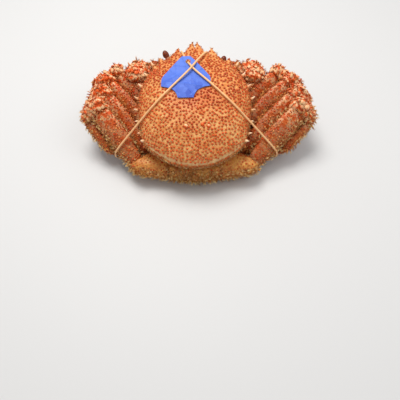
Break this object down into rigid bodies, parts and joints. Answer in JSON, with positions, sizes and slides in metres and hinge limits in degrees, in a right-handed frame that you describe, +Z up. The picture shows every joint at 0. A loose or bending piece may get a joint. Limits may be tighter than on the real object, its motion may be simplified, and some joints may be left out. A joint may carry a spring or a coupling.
{
  "type": "horsehair crab model",
  "caption": "Life-size display model of a boiled horsehair crab, legs folded under, tied with a rubber band over a bare paper tag.",
  "frame": {"origin": "middle of the underside, on the floor", "axes": "+X to the crab's right, +Y the way it faces, +Z up"},
  "size_m": [0.1988, 0.1222, 0.0749],
  "materials": {
    "carapace": "grainy boiled shell",
    "thorax": "pale shell",
    "abdomen": "pale shell with a short nap",
    "maxilliped_right": "pale shell",
    "eye_right": "glossy",
    "antenna_right": "satin shell",
    "claw_right_merus": "satin shell",
    "claw_right_carpus": "satin shell",
    "claw_right_palm": "satin shell",
    "claw_right_finger": "satin shell",
    "leg1_right_base": "satin shell",
    "leg1_right_merus": "satin shell",
    "leg1_right_carpus": "satin shell",
    "leg1_right_propodus": "satin shell",
    "leg1_right_dactylus": "satin shell",
    "leg2_right_base": "satin shell",
    "leg2_right_merus": "satin shell",
    "leg2_right_carpus": "satin shell",
    "leg2_right_propodus": "satin shell",
    "leg2_right_dactylus": "satin shell",
    "leg3_right_base": "satin shell",
    "leg3_right_merus": "satin shell",
    "leg3_right_carpus": "satin shell",
    "leg3_right_propodus": "satin shell",
    "leg3_right_dactylus": "satin shell",
    "leg4_right_base": "satin shell",
    "leg4_right_merus": "satin shell",
    "leg4_right_carpus": "satin shell",
    "leg4_right_propodus": "satin shell",
    "leg4_right_dactylus": "satin shell",
    "maxilliped_left": "pale shell",
    "eye_left": "glossy",
    "antenna_left": "satin shell",
    "claw_left_merus": "satin shell",
    "claw_left_carpus": "satin shell",
    "claw_left_palm": "satin shell",
    "claw_left_finger": "satin shell",
    "leg1_left_base": "satin shell",
    "leg1_left_merus": "satin shell",
    "leg1_left_carpus": "satin shell",
    "leg1_left_propodus": "satin shell",
    "leg1_left_dactylus": "satin shell",
    "leg2_left_base": "satin shell",
    "leg2_left_merus": "satin shell",
    "leg2_left_carpus": "satin shell",
    "leg2_left_propodus": "satin shell",
    "leg2_left_dactylus": "satin shell",
    "leg3_left_base": "satin shell",
    "leg3_left_merus": "satin shell",
    "leg3_left_carpus": "satin shell",
    "leg3_left_propodus": "satin shell",
    "leg3_left_dactylus": "satin shell",
    "leg4_left_base": "satin shell",
    "leg4_left_merus": "satin shell",
    "leg4_left_carpus": "satin shell",
    "leg4_left_propodus": "satin shell",
    "leg4_left_dactylus": "satin shell",
    "tag": "coated paper with creases",
    "band": "smooth"
  },
  "bodies": {
    "root": {"carapace": "carapace", "thorax": "thorax", "abdomen": "abdomen", "maxilliped_right": "maxilliped_right", "eye_right": "eye_right", "antenna_right": "antenna_right", "claw_right_merus": "claw_right_merus", "claw_right_carpus": "claw_right_carpus", "claw_right_palm": "claw_right_palm", "claw_right_finger": "claw_right_finger", "leg1_right_base": "leg1_right_base", "leg1_right_merus": "leg1_right_merus", "leg1_right_carpus": "leg1_right_carpus", "leg1_right_propodus": "leg1_right_propodus", "leg1_right_dactylus": "leg1_right_dactylus", "leg2_right_base": "leg2_right_base", "leg2_right_merus": "leg2_right_merus", "leg2_right_carpus": "leg2_right_carpus", "leg2_right_propodus": "leg2_right_propodus", "leg2_right_dactylus": "leg2_right_dactylus", "leg3_right_base": "leg3_right_base", "leg3_right_merus": "leg3_right_merus", "leg3_right_carpus": "leg3_right_carpus", "leg3_right_propodus": "leg3_right_propodus", "leg3_right_dactylus": "leg3_right_dactylus", "leg4_right_base": "leg4_right_base", "leg4_right_merus": "leg4_right_merus", "leg4_right_carpus": "leg4_right_carpus", "leg4_right_propodus": "leg4_right_propodus", "leg4_right_dactylus": "leg4_right_dactylus", "maxilliped_left": "maxilliped_left", "eye_left": "eye_left", "antenna_left": "antenna_left", "claw_left_merus": "claw_left_merus", "claw_left_carpus": "claw_left_carpus", "claw_left_palm": "claw_left_palm", "claw_left_finger": "claw_left_finger", "leg1_left_base": "leg1_left_base", "leg1_left_merus": "leg1_left_merus", "leg1_left_carpus": "leg1_left_carpus", "leg1_left_propodus": "leg1_left_propodus", "leg1_left_dactylus": "leg1_left_dactylus", "leg2_left_base": "leg2_left_base", "leg2_left_merus": "leg2_left_merus", "leg2_left_carpus": "leg2_left_carpus", "leg2_left_propodus": "leg2_left_propodus", "leg2_left_dactylus": "leg2_left_dactylus", "leg3_left_base": "leg3_left_base", "leg3_left_merus": "leg3_left_merus", "leg3_left_carpus": "leg3_left_carpus", "leg3_left_propodus": "leg3_left_propodus", "leg3_left_dactylus": "leg3_left_dactylus", "leg4_left_base": "leg4_left_base", "leg4_left_merus": "leg4_left_merus", "leg4_left_carpus": "leg4_left_carpus", "leg4_left_propodus": "leg4_left_propodus", "leg4_left_dactylus": "leg4_left_dactylus", "tag": "tag", "band": "band"}
  },
  "joints": []
}
